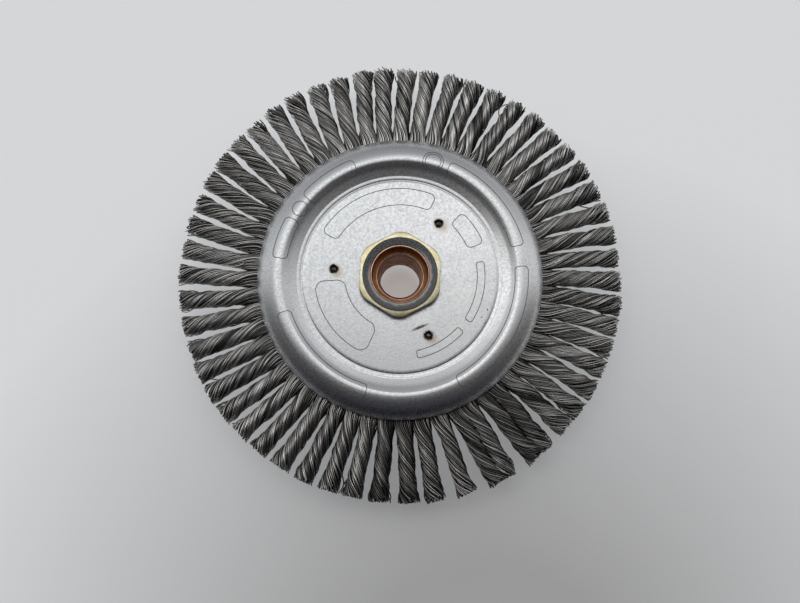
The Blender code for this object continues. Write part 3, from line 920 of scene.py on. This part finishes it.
def leg_places():
    """Where the wires lie across a leg, close packed: distances out from the centre line, and over."""
    places = []
    for row in range(6):
        out = FIRST_ROW + row * ROW_RISE * WIRE_PITCH
        out = min(out, LEG_REACH - 0.12 * MM)
        half = LEG_HALF_WIDTH * math.sqrt(1.0 - (out / LEG_REACH) ** 2)
        count = int(2.0 * half / WIRE_PITCH) + 1
        places += [(out, (k - 0.5 * (count - 1)) * WIRE_PITCH) for k in range(count)]
    return np.array(places).T


def leg_points(knot, shape, which_leg):
    """The wires of one leg from the plates to the tip: (wires, rings, 3) points and side directions."""
    share = np.linspace(0.0, 1.0, TRUNK_RINGS)
    ends = knot.tip_radius - TIP_ALLOWANCE - shape["short"][:, which_leg]
    radius = KNOT_ROOT_RADIUS + share[None, :] * (ends[:, None] - KNOT_ROOT_RADIUS)
    twisted = np.maximum(radius - TWIST_START, 0.0)
    twisted = twisted - TWIST_EASE * (1.0 - np.exp(-twisted / TWIST_EASE))
    phase = shape["root"] + 2.0 * math.pi * twisted / shape["lay"]
    along, side, up = knot.directions(radius)
    sign = 1.0 if which_leg == 0 else -1.0
    flare = np.clip((radius - FLARE_START) / (knot.tip_radius - FLARE_START), 0.0, 1.0) ** 1.3
    size = shape["size"] * (1.0 + FLARE * flare)
    wave = shape["wave"][:, which_leg, None] + radius / WIRE_WAVE_LENGTH
    out = shape["out"][:, None] * size + WIRE_WAVE * np.sin(wave)
    over = shape["over"][:, None] * size + WIRE_WAVE * np.cos(wave)
    out = out + flare * shape["splay"][:, which_leg, 0, None]
    over = over + flare * shape["splay"][:, which_leg, 1, None]
    # The plates' rims press the knot flat, and its neighbours stop it from spreading far.
    free = np.clip((radius - PRESSED_UNTIL) / FREE_AFTER, 0.0, 1.0)
    free = free * free * (3.0 - 2.0 * free)
    sideways = (sign * out * np.cos(phase) - over * np.sin(phase)) * (1.14 - 0.14 * free)
    upwards = (sign * out * np.sin(phase) + over * np.cos(phase)) * (0.95 + 0.05 * free)
    stray = shape["stray"][:, which_leg]
    reach = (radius - KNOT_ROOT_RADIUS) / (knot.tip_radius - KNOT_ROOT_RADIUS)
    past = reach - stray[:, 1, None]
    past = np.where(stray[:, 1, None] > TIP_STRAY, np.minimum(past, 0.0), past)
    hump = np.exp(-((past / STRAY_HUMP) ** 2)) * stray[:, 0, None]
    sideways = sideways + hump * np.cos(stray[:, 2, None])
    upwards = upwards + hump * np.sin(stray[:, 2, None])
    points = knot.middle(radius) + side * sideways[..., None] + up * upwards[..., None]
    lobe = np.cos(phase)[..., None] * side + np.sin(phase)[..., None] * up
    return points, sign * lobe


def fold_points(knot, shape):
    """The wires' run through the ring, from the front leg to the back leg."""
    rows = FOLD + tuple((r, -z, 360.0 - turn, size) for r, z, turn, size in FOLD[-2::-1])
    count = len(shape["out"])
    out = shape["out"] - 1.35 * MM
    points = np.zeros((count, len(rows), 3))
    sides = np.zeros((count, len(rows), 3))
    for number, (radius, level, turn, size) in enumerate(rows):
        along, side, up = knot.directions(np.array(radius))
        outer = math.cos(math.radians(turn)) * along + math.sin(math.radians(turn)) * up
        middle = knot.middle(np.array(radius)) + level * up
        over = shape["over"] * size * size
        points[:, number] = middle + outer * (out * size)[:, None] - side * over[:, None]
        sides[:, number] = outer
    return points, sides


def tubes(points, sides, radius):
    """Corners and faces of a closed tube along every row of points."""
    wires, rings, _ = points.shape
    along = np.gradient(points, axis=1)
    along /= np.linalg.norm(along, axis=2, keepdims=True)
    first = sides - (sides * along).sum(2, keepdims=True) * along
    first /= np.linalg.norm(first, axis=2, keepdims=True)
    second = np.cross(along, first)
    turn = np.arange(WIRE_SIDES) * 2.0 * math.pi / WIRE_SIDES
    corners = (
        points[:, :, None]
        + radius * np.cos(turn)[None, None, :, None] * first[:, :, None]
        + radius * np.sin(turn)[None, None, :, None] * second[:, :, None]
    )
    wire, ring, side = np.meshgrid(
        np.arange(wires), np.arange(rings - 1), np.arange(WIRE_SIDES), indexing="ij"
    )
    here = (wire * rings + ring) * WIRE_SIDES + side
    beside = (wire * rings + ring) * WIRE_SIDES + (side + 1) % WIRE_SIDES
    quads = np.stack((here, beside, beside + WIRE_SIDES, here + WIRE_SIDES), 3).reshape(-1, 4)
    start = (np.arange(wires) * rings)[:, None] * WIRE_SIDES + np.arange(WIRE_SIDES)[::-1]
    end = (np.arange(wires) * rings + rings - 1)[:, None] * WIRE_SIDES + np.arange(WIRE_SIDES)
    return corners.reshape(-1, 3), quads, (start, end)


# Wires that stand out of their knots: knot, how far in mm, where along it as a share, and the
# direction round it in degrees.
STRAYS = (
    (0, 2.0, 0.86, 185.0), (55, 1.8, 0.80, 10.0), (10, 2.2, 0.78, 0.0), (18, 2.4, 0.55, 200.0),
    (43, 2.6, 0.30, 180.0), (42, 1.6, 0.90, 0.0), (24, 2.2, 0.62, 0.0), (31, 1.6, 0.85, 180.0),
    (37, 1.8, 0.90, 0.0), (48, 1.5, 0.88, 180.0), (15, 1.7, 0.90, 0.0), (5, 1.5, 0.75, 180.0),
)


KNOT_SEED = 500
WIRE_JITTER = 0.035 * MM
SHORT_SPREAD = 0.75 * MM
SHORT_CHANCE = 0.05
SHORT_MOST = 1.6 * MM
SPLAY_SPREAD = 0.33 * MM
ROOT_TURN = math.radians(50.0)
ROOT_SPREAD = 0.14
LAY_SPREAD = 0.06
SIZE_SPREAD = 0.02
TONE_MIDDLE = 0.58
TONE_SPREAD = 0.33


def knot_shape(index, chance):
    """The random features of one knot."""
    out, over = leg_places()
    count = len(out)
    around = np.arctan2(over, out)
    bundles = 1.0
    for waves in (3, 5, 7):
        bundles = bundles + 0.03 * np.cos(waves * around + 2.0 * math.pi * chance.random())
    short = np.abs(chance.normal(0.0, SHORT_SPREAD, (count, 2)))
    far = chance.random((count, 2)) < SHORT_CHANCE
    short = short + far * chance.random((count, 2)) * SHORT_MOST
    stray = np.zeros((count, 2, 3))
    stray[..., 1] = 0.5
    for number, (knot_index, how_far, where, towards) in enumerate(STRAYS):
        if knot_index == index:
            stray[count - 1 - number % 3, number % 2] = (how_far * MM, where, math.radians(towards))
    return {
        "out": out * bundles + chance.normal(0.0, WIRE_JITTER, count),
        "over": over * bundles + chance.normal(0.0, WIRE_JITTER, count),
        "short": short,
        "splay": chance.normal(0.0, SPLAY_SPREAD, (count, 2, 2)),
        "wave": chance.random((count, 2)) * 2.0 * math.pi,
        "stray": stray,
        "root": ROOT_TURN + chance.normal(0.0, ROOT_SPREAD),
        "lay": LAY * (1.0 + chance.normal(0.0, LAY_SPREAD)),
        "size": 1.0 + chance.normal(0.0, SIZE_SPREAD),
    }


def knot_arrays(index):
    chance = np.random.default_rng(KNOT_SEED + index)
    knot = Knot(index)
    shape = knot_shape(index, chance)
    front, front_sides = leg_points(knot, shape, 0)
    back, back_sides = leg_points(knot, shape, 1)
    fold, fold_sides = fold_points(knot, shape)
    points = np.concatenate((front[:, ::-1], fold, back), 1)
    sides = np.concatenate((front_sides[:, ::-1], fold_sides, back_sides), 1)
    corners, quads, ends = tubes(points, sides, WIRE_RADIUS)
    # The wires inside the leg are painted dark as painted shade, so the outer ones stand apart.
    outer = np.hypot(shape["out"] / LEG_REACH, shape["over"] / LEG_HALF_WIDTH)
    tone = TONE_MIDDLE + chance.normal(0.0, TONE_SPREAD, len(points))
    tone = np.clip(tone, 0.08, 1.0) * np.clip((outer - 0.60) / 0.20, 0.0, 1.0)
    return corners, quads, ends, np.repeat(tone, points.shape[1] * WIRE_SIDES)


def make_knots():
    done = set()
    for index in range(KNOT_COUNT):
        node, which = knot_names(index)
        if node in done:
            continue
        done.add(node)
        members = [index] if which is None else [index, index + 1]
        corners, quads, starts, ends, tones, base = [], [], [], [], [], 0
        for member in members:
            made = knot_arrays(member)
            corners.append(made[0])
            quads.append(made[1] + base)
            starts.append(made[2][0] + base)
            ends.append(made[2][1] + base)
            tones.append(made[3])
            base += len(made[0])
        caps = (np.concatenate(starts), np.concatenate(ends))
        name = node.replace("knot", "wire_knot")
        mesh = mesh_from_arrays(name, np.concatenate(corners), np.concatenate(quads), caps)
        tone = mesh.attributes.new("wire_tone", "FLOAT", "POINT")
        tone.data.foreach_set("value", np.concatenate(tones).astype(np.float32))
        mesh.set_sharp_from_angle(angle=math.radians(80.0))
        piece = add_object(name, mesh, [WIRE])
        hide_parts(node)


make_knots()


# ---------------------------------------------------------------- carried-over parts

for node in ("retaining_ring", "hub_spacer"):
    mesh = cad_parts[node].data
    mesh.materials.clear()
    mesh.materials.append(STEEL)


# ---------------------------------------------------------------- stage, light and camera


FLOOR_HALF_SIZE = 2.0
FLOOR_DROP = 0.02 * MM


def make_floor():
    bm = bmesh.new()
    bmesh.ops.create_grid(bm, x_segments=8, y_segments=8, size=FLOOR_HALF_SIZE)
    mesh = bpy.data.meshes.new("floor")
    bm.to_mesh(mesh)
    bm.free()
    floor = bpy.data.objects.new("floor", mesh)
    floor.location.z = -FLOOR_DROP
    mesh.materials.append(floor_surface())
    bpy.context.scene.collection.objects.link(floor)


def make_light(name, place, target, size, power, colour):
    data = bpy.data.lights.new(name, "AREA")
    data.shape = "RECTANGLE"
    data.size, data.size_y = size
    data.energy = power
    data.color = colour
    light = bpy.data.objects.new(name, data)
    light.location = place
    light.rotation_euler = (Vector(target) - Vector(place)).to_track_quat("-Z", "Y").to_euler()
    bpy.context.scene.collection.objects.link(light)


# The room by direction, from the photographer's dark side at -Y to the far side at +Y: how far
# the direction points to +Y, and the room's colour there.
ROOM = (
    (-1.00, (0.025, 0.027, 0.034)),
    (-0.63, (0.055, 0.055, 0.065)),
    (-0.45, (0.075, 0.068, 0.066)),
    (-0.25, (0.105, 0.098, 0.096)),
    (-0.08, (0.17, 0.165, 0.165)),
    (0.03, (0.31, 0.31, 0.31)),
    (0.13, (0.72, 0.72, 0.725)),
    (0.24, (0.96, 0.96, 0.965)),
    (0.38, (0.82, 0.825, 0.83)),
    (0.60, (0.54, 0.545, 0.55)),
    (0.92, (0.42, 0.425, 0.435)),
    (1.00, (0.27, 0.275, 0.285)),
)


def make_world():
    """A soft grey room, brightest overhead and dark towards -Y where the photographer stands."""
    world = bpy.data.worlds.new("room")
    world.use_nodes = True
    tree = world.node_tree
    background = tree.nodes["Background"]
    place = tree.nodes.new("ShaderNodeTexCoord")
    parts = tree.nodes.new("ShaderNodeSeparateXYZ")
    tree.links.new(place.outputs["Generated"], parts.inputs[0])
    share = tree.nodes.new("ShaderNodeMath")
    share.operation = "MULTIPLY_ADD"
    tree.links.new(parts.outputs["Y"], share.inputs[0])
    share.inputs[1].default_value = 0.5
    share.inputs[2].default_value = 0.5
    ramp = tree.nodes.new("ShaderNodeValToRGB")
    tree.links.new(share.outputs[0], ramp.inputs[0])
    stops = ramp.color_ramp.elements
    while len(stops) < len(ROOM):
        stops.new(0.5)
    for stop, (towards, colour) in zip(stops, ROOM):
        stop.position = 0.5 + 0.5 * towards
        stop.color = (*colour, 1.0)
    tree.links.new(ramp.outputs[0], background.inputs[0])
    background.inputs[1].default_value = 0.9
    bpy.context.scene.world = world


LENS = 49.25
CAMERA_PLACE = (0.0, -0.07375, MID_Z + 0.368)
CAMERA_TILT = math.radians(10.2)


def make_camera():
    data = bpy.data.cameras.new("camera")
    data.sensor_width = 36.0
    data.lens = LENS
    camera = bpy.data.objects.new("camera", data)
    camera.location = CAMERA_PLACE
    camera.rotation_euler = (CAMERA_TILT, 0.0, 0.0)
    bpy.context.scene.collection.objects.link(camera)
    bpy.context.scene.camera = camera


make_floor()
make_world()
make_light("ceiling_light", (-0.14, 0.34, 1.0), (0.0, 0.0, 0.0), (1.1, 0.36), 0.95, (1.0, 0.995, 0.985))
make_camera()
bpy.context.scene.view_settings.view_transform = "Standard"
